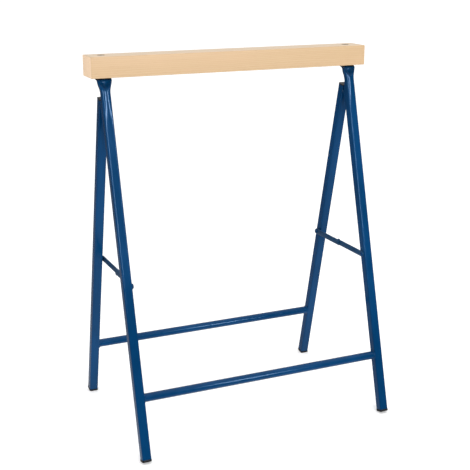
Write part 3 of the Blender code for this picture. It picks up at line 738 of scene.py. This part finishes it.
def make_crossbar(end):
    """A round tube between two legs, with a weld bead round each end."""
    leg = Leg(end, "right")
    low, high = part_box(f"{end}_crossbar")
    radius = (high.z - low.z) / 2 / math.cos(math.pi / CAD_BAR_SIDES)
    reach = leg.x - leg.tube / 2
    middle = Vector((0.0, leg.bar.y, leg.bar.z))
    bar = turned([(-reach, radius), (reach, radius)], ROUND_STEPS)
    place(bar, Matrix.Translation(middle) @ Z_TO_X)
    add_piece(f"crossbar_{end}", bar, "paint", leg.body, [f"{end}_crossbar"])
    for side, sign in SIDES:
        line = []
        for step in range(WELD_BAR_STEPS):
            turn = 2 * math.pi * step / WELD_BAR_STEPS
            outward = Vector((0.0, math.cos(turn), math.sin(turn)))
            along = Vector((0.0, -math.sin(turn), math.cos(turn)))
            line.append((middle + Vector((sign * reach, 0.0, 0.0)) + outward * radius, outward, along))
        add_piece(f"weld_{end}_{side}", weld_bead(line, WELD_RADIUS, True), "paint", leg.body)


# Hinges
def make_hinge_leaf(end, side):
    """A leaf with its knuckles, and a bead down each edge that joins it to the leg."""
    leg = Leg(end, side)
    node = f"{end}_hinge_leaf_{side}"
    low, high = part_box(node)
    pin = Vector(JOINTS["frame_fold"]["pos_m"])
    pin.x = leg.x
    half_width = (high.x - low.x) / 2
    facing = 1 if end == "front" else -1
    face = (leg.at_height(pin.z) - pin).dot(leg.back) + facing * leg.tube / 2
    outer = face + facing * GAP
    offset = outer + facing * HINGE_LEAF_THICKNESS / 2
    reach = (pin.z - low.z) / math.cos(leg.lean) - HINGE_LEAF_THICKNESS * math.tan(leg.lean)
    if end == "front":
        spans = ((-half_width, -HINGE_FRONT_KNUCKLE_START), (HINGE_FRONT_KNUCKLE_START, half_width))
    else:
        spans = ((-HINGE_REAR_KNUCKLE_END, HINGE_REAR_KNUCKLE_END),)
    leaf_top = -HINGE_KNUCKLE_RADIUS - 2 * GAP
    shapes = [((-half_width, half_width), (-reach, leaf_top))]
    shapes += [(span, (leaf_top - HINGE_LEAF_THICKNESS, 0.0)) for span in spans]
    leaf = bmesh.new()
    for (left, right), (bottom, top) in shapes:
        plate = bmesh.ops.create_cube(leaf, size=1.0)["verts"]
        bmesh.ops.scale(leaf, vec=(right - left, HINGE_LEAF_THICKNESS, top - bottom), verts=plate)
        bmesh.ops.translate(leaf, vec=((left + right) / 2, offset, (bottom + top) / 2), verts=plate)
    bmesh.ops.bevel(leaf, geom=leaf.edges[:], offset=HINGE_EDGE, segments=2, affect="EDGES")
    place(leaf, leg.frame_at(pin))
    add_piece(f"hinge_{end}_{side}", leaf, "paint", leg.body, [node])
    for index, (left, right) in enumerate(spans):
        inner = HINGE_KNUCKLE_RADIUS - HINGE_EDGE
        profile = [(left, inner), (left + HINGE_EDGE, HINGE_KNUCKLE_RADIUS)]
        profile += [(right - HINGE_EDGE, HINGE_KNUCKLE_RADIUS), (right, inner)]
        barrel = turned(profile, SMALL_ROUND_STEPS)
        place(barrel, Matrix.Translation(pin) @ Z_TO_X)
        add_piece(f"knuckle_{end}_{side}_{index}", barrel, "paint", leg.body)

    for edge, sign in (("a", -1), ("b", 1)):
        line = []
        for step in range(WELD_LEAF_STEPS + 1):
            share = step / WELD_LEAF_STEPS
            drop = mix(-reach + WELD_LEAF_RADIUS, leaf_top - WELD_LEAF_RADIUS, share)
            point = leg.frame_at(pin) @ Vector((sign * half_width, face + facing * GAP, drop))
            line.append((point, Vector((sign, 0.0, 0.0)), leg.rise))
        bead = weld_bead(line, WELD_LEAF_RADIUS, False)
        add_piece(f"hinge_weld_{end}_{side}_{edge}", bead, "paint", leg.body)


def make_hinge_pin(side):
    """A pin with a flat head at each end."""
    low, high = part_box(f"hinge_pin_{side}")
    middle = (low + high) / 2
    half = (high.x - low.x) / 2
    radius = (high.z - low.z) / 2
    inner = half - PIN_HEAD_THICKNESS
    head = [(inner, HINGE_PIN_RADIUS), (inner, radius), (half - HINGE_EDGE, radius)]
    head.append((half, radius * PIN_HEAD_FACE))
    pin = turned([(-z, width) for z, width in reversed(head)] + head, SMALL_ROUND_STEPS)
    place(pin, Matrix.Translation(middle) @ Z_TO_X)
    add_piece(f"pin_{side}", pin, SLOTS[f"hinge_pin_{side}"], "front_frame", [f"hinge_pin_{side}"])


# Stays
def link_outline(span, eye_radius):
    """Return a link's outline, from its pivot at 0 to its elbow at span, with a round eye there."""
    steps = 24
    open_turn = math.asin(min(LINK_HALF_WIDTH / eye_radius, 1.0))
    points = []
    for step in range(steps + 1):
        turn = mix(open_turn - math.pi, math.pi - open_turn, step / steps)
        points.append((span + eye_radius * math.cos(turn), eye_radius * math.sin(turn)))
    for step in range(steps + 1):
        turn = math.pi / 2 + math.pi * step / steps
        points.append((LINK_HALF_WIDTH * math.cos(turn), LINK_HALF_WIDTH * math.sin(turn)))
    return points


def make_stay_link(end, side):
    """A flat pressed link with softened edges."""
    node = f"{end}_stay_link_{side}"
    low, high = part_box(node)
    pivot = Vector(JOINTS[f"{end}_stay_turn_{side}"]["pos_m"])
    elbow = box_centre(f"elbow_rivet_{side}")
    span = elbow.y - pivot.y
    outline = link_outline(abs(span), (high.z - low.z) / 2)
    thickness = high.x - low.x
    edges = fillet(LINK_EDGE, 3, 0.0, thickness, False) + fillet(LINK_EDGE, 3, 0.0, thickness, True)
    stations = []
    for height, inset in edges:
        points = []
        for x, y in outline:
            outward = Vector((x - min(max(x, 0.0), abs(span)), y)).normalized()
            points.append((x - outward.x * inset, y - outward.y * inset))
        stations.append((height, points))
    link = stacked(stations)
    if span < 0:
        place(link, Matrix.Scale(-1, 4, (1.0, 0.0, 0.0)))
    place(link, Matrix.Translation((low.x, pivot.y, pivot.z)) @ Z_TO_X)
    add_piece(f"link_{end}_{side}", link, "stay", f"{end}_stay_{side}", [node])


def make_rivet(name, node, body, sign):
    """A domed rivet head with the dimple that its broken mandrel leaves, and a short shank."""
    low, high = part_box(node)
    middle = (low + high) / 2
    radius = (high.z - low.z) / 2
    length = high.x - low.x
    steps = 10
    under_head = length - RIVET_HEAD_HEIGHT
    profile = [(0.0, RIVET_RADIUS), (under_head, RIVET_RADIUS)]
    profile += [(under_head, radius - RIVET_BRIM / 2), (under_head + RIVET_BRIM / 2, radius)]
    rise = RIVET_HEAD_HEIGHT - RIVET_BRIM
    for step in range(steps):
        turn = math.pi / 2 * step / steps
        width = radius * math.cos(turn) ** 0.8 + DIMPLE_RADIUS * (1 - math.cos(turn))
        profile.append((length - rise + rise * math.sin(turn), width))
    profile += [(length, DIMPLE_RADIUS), (length - rise, DIMPLE_RADIUS * 0.8)]
    rivet = turned(profile, SMALL_ROUND_STEPS)
    if sign > 0:
        place(rivet, Matrix.Scale(-1, 4, (0.0, 0.0, 1.0)))
        start = high.x
    else:
        start = low.x
    place(rivet, Matrix.Translation((start, middle.y, middle.z)) @ Z_TO_X)
    add_piece(name, rivet, SLOTS[node], body, [node])


def make_spacer(side):
    """A plain ring between the rear leg and its stay."""
    node = f"stay_spacer_{side}"
    low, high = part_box(node)
    middle = (low + high) / 2
    radius = (high.z - low.z) / 2
    half = (high.x - low.x) / 2
    profile = [(-half, radius - GAP), (-half + GAP, radius), (half - GAP, radius), (half, radius - GAP)]
    ring = turned(profile, SMALL_ROUND_STEPS)
    place(ring, Matrix.Translation(middle) @ Z_TO_X)
    add_piece(f"spacer_{side}", ring, SLOTS[node], "rear_frame", [node])


def make_pieces():
    """Remake the whole sawhorse."""
    make_beam()
    for end in ("front", "rear"):
        make_crossbar(end)
    for side, sign in SIDES:
        make_bolt(side)
        make_nut_and_washer(side)
        make_front_leg(side)
        make_rear_leg(side)
        make_hinge_pin(side)
        make_spacer(side)
        make_rivet(f"elbow_{side}", f"elbow_rivet_{side}", f"rear_stay_{side}", sign)
        for end in ("front", "rear"):
            leg = Leg(end, side)
            make_plug(f"foot_{end}_{side}", leg, leg.sole, FOOT_HEAD, False, f"{end}_foot_{side}")
            make_hinge_leaf(end, side)
            make_stay_link(end, side)
            make_rivet(f"rivet_{end}_{side}", f"{end}_stay_rivet_{side}", leg.body, sign)


# Stage
LAMP_WIDTH = 0.4
LAMP_HEIGHT = 2.2
LAMP_AIM = 0.55
# Each lamp's name, place and power
LAMPS = (
    ("left_lamp", (-1.40, -6.50, 2.70), 150.0),
    ("middle_lamp", (0.90, -6.56, 2.70), 115.0),
    ("right_lamp", (2.70, -6.22, 2.70), 95.0),
)
FLOOR_REACH = 30.0
BACKDROP_RADIUS = 28.0
BACKDROP_MIDDLE = 11.2
SKY_FRONT = 0.13
SKY_BEHIND = 0.85
SKY_OVERHEAD = 1.40
FLOOR_FAR = 0.06
FLOOR_NEAR = 1.10
CAMERA_PLACE = (-0.8016, -1.7917, 0.9423)
CAMERA_LENS = 75.77
CAMERA_YAW = math.radians(24.17)
CAMERA_PITCH = math.radians(16.17)


def make_floor():
    """A wide, plain, pale floor. Gloss takes its reflection from the sky's lower half instead."""
    turns = ((-1, -1), (1, -1), (1, 1), (-1, 1))
    corners = [(x * FLOOR_REACH, y * FLOOR_REACH, 0.0) for x, y in turns]
    mesh = bpy.data.meshes.new("floor")
    mesh.from_pydata(corners, [], [(0, 1, 2, 3)])
    floor = bpy.data.objects.new("floor", mesh)
    bpy.context.scene.collection.objects.link(floor)
    pale = Shader("pale_floor", 0.9)
    grain = pale.noise(pale.coordinates, 3.0, 2.0)
    pale.set("Base Color", pale.blend(grain, rgb(0.90, 0.90, 0.90), rgb(0.92, 0.92, 0.92)))
    pale.set("Specular IOR Level", 0.0)
    pale.set("Emission Color", rgb(1.0, 1.0, 1.0))
    pale.set("Emission Strength", 0.15)
    mesh.materials.append(pale.material)
    floor.visible_glossy = False


def make_backdrop():
    """A white wall all round, far off, that only the camera sees: it hides the horizon in low views."""
    wall = bmesh.new()
    bmesh.ops.create_cone(
        wall, cap_ends=False, segments=64, radius1=BACKDROP_RADIUS, radius2=BACKDROP_RADIUS,
        depth=BACKDROP_RADIUS, matrix=Matrix.Translation((0.0, 0.0, BACKDROP_MIDDLE)))
    mesh = bpy.data.meshes.new("backdrop")
    wall.to_mesh(mesh)
    wall.free()
    backdrop = bpy.data.objects.new("backdrop", mesh)
    bpy.context.scene.collection.objects.link(backdrop)
    white = Shader("white_backdrop", 0.9)
    white.set("Base Color", rgb(0.0, 0.0, 0.0))
    white.set("Specular IOR Level", 0.0)
    white.set("Emission Color", rgb(1.0, 1.0, 1.0))
    white.set("Emission Strength", 1.3)
    mesh.materials.append(white.material)
    for kind in ("diffuse", "glossy", "transmission", "volume_scatter", "shadow"):
        setattr(backdrop, "visible_" + kind, False)


def make_lights():
    """Tall soft lamps that face the sawhorse from the front."""
    for name, position, power in LAMPS:
        data = bpy.data.lights.new(name, "AREA")
        data.shape = "RECTANGLE"
        data.size = LAMP_WIDTH
        data.size_y = LAMP_HEIGHT
        data.energy = power
        lamp = bpy.data.objects.new(name, data)
        lamp.location = position
        towards = BEAM_MIDDLE * LAMP_AIM - Vector(position)
        lamp.rotation_euler = towards.to_track_quat("-Z", "Y").to_euler()
        bpy.context.scene.collection.objects.link(lamp)


def make_sky():
    """A soft sky: brightest overhead, pale behind the sawhorse and dark in front of it.

    Its lower half, which only gloss sees, is a floor that is lit near the sawhorse and dark far off.
    """
    world = bpy.data.worlds.new("soft_sky")
    world.use_nodes = True
    tree = world.node_tree
    direction = tree.nodes.new("ShaderNodeTexCoord").outputs["Generated"]
    split = tree.nodes.new("ShaderNodeSeparateXYZ")
    tree.links.new(direction, split.inputs[0])

    def ramp(value, low, high, to_low, to_high):
        """Map a range of a value smoothly onto another range."""
        made = tree.nodes.new("ShaderNodeMapRange")
        made.interpolation_type = "SMOOTHSTEP"
        for key, setting in zip(("From Min", "From Max", "To Min", "To Max"), (low, high, to_low, to_high)):
            if isinstance(setting, bpy.types.NodeSocket):
                tree.links.new(setting, made.inputs[key])
            else:
                made.inputs[key].default_value = setting
        tree.links.new(value, made.inputs["Value"])
        return made.outputs["Result"]

    height = split.outputs["Z"]
    horizon = ramp(split.outputs["Y"], -0.9, 0.2, SKY_FRONT, SKY_BEHIND)
    floor_glow = ramp(height, -0.10, -0.80, FLOOR_FAR, FLOOR_NEAR)
    low_sky = ramp(height, -0.10, 0.0, floor_glow, horizon)
    strength = ramp(height, 0.35, 0.95, low_sky, SKY_OVERHEAD)
    background = tree.nodes["Background"]
    background.inputs["Color"].default_value = rgb(1.0, 1.0, 1.0)
    tree.links.new(strength, background.inputs["Strength"])
    bpy.context.scene.world = world
    bpy.context.scene.view_settings.view_transform = "Standard"


def make_camera():
    """A camera in front, a little to the left and above, looking down at the sawhorse."""
    data = bpy.data.cameras.new("camera")
    data.sensor_width = 36.0
    data.lens = CAMERA_LENS
    camera = bpy.data.objects.new("camera", data)
    camera.location = CAMERA_PLACE
    level = math.cos(CAMERA_PITCH)
    ahead = Vector((math.sin(CAMERA_YAW) * level, math.cos(CAMERA_YAW) * level, -math.sin(CAMERA_PITCH)))
    camera.rotation_euler = ahead.to_track_quat("-Z", "Y").to_euler()
    bpy.context.scene.collection.objects.link(camera)
    bpy.context.scene.camera = camera


make_camera()
make_floor()
make_backdrop()
make_lights()
make_sky()
make_pieces()
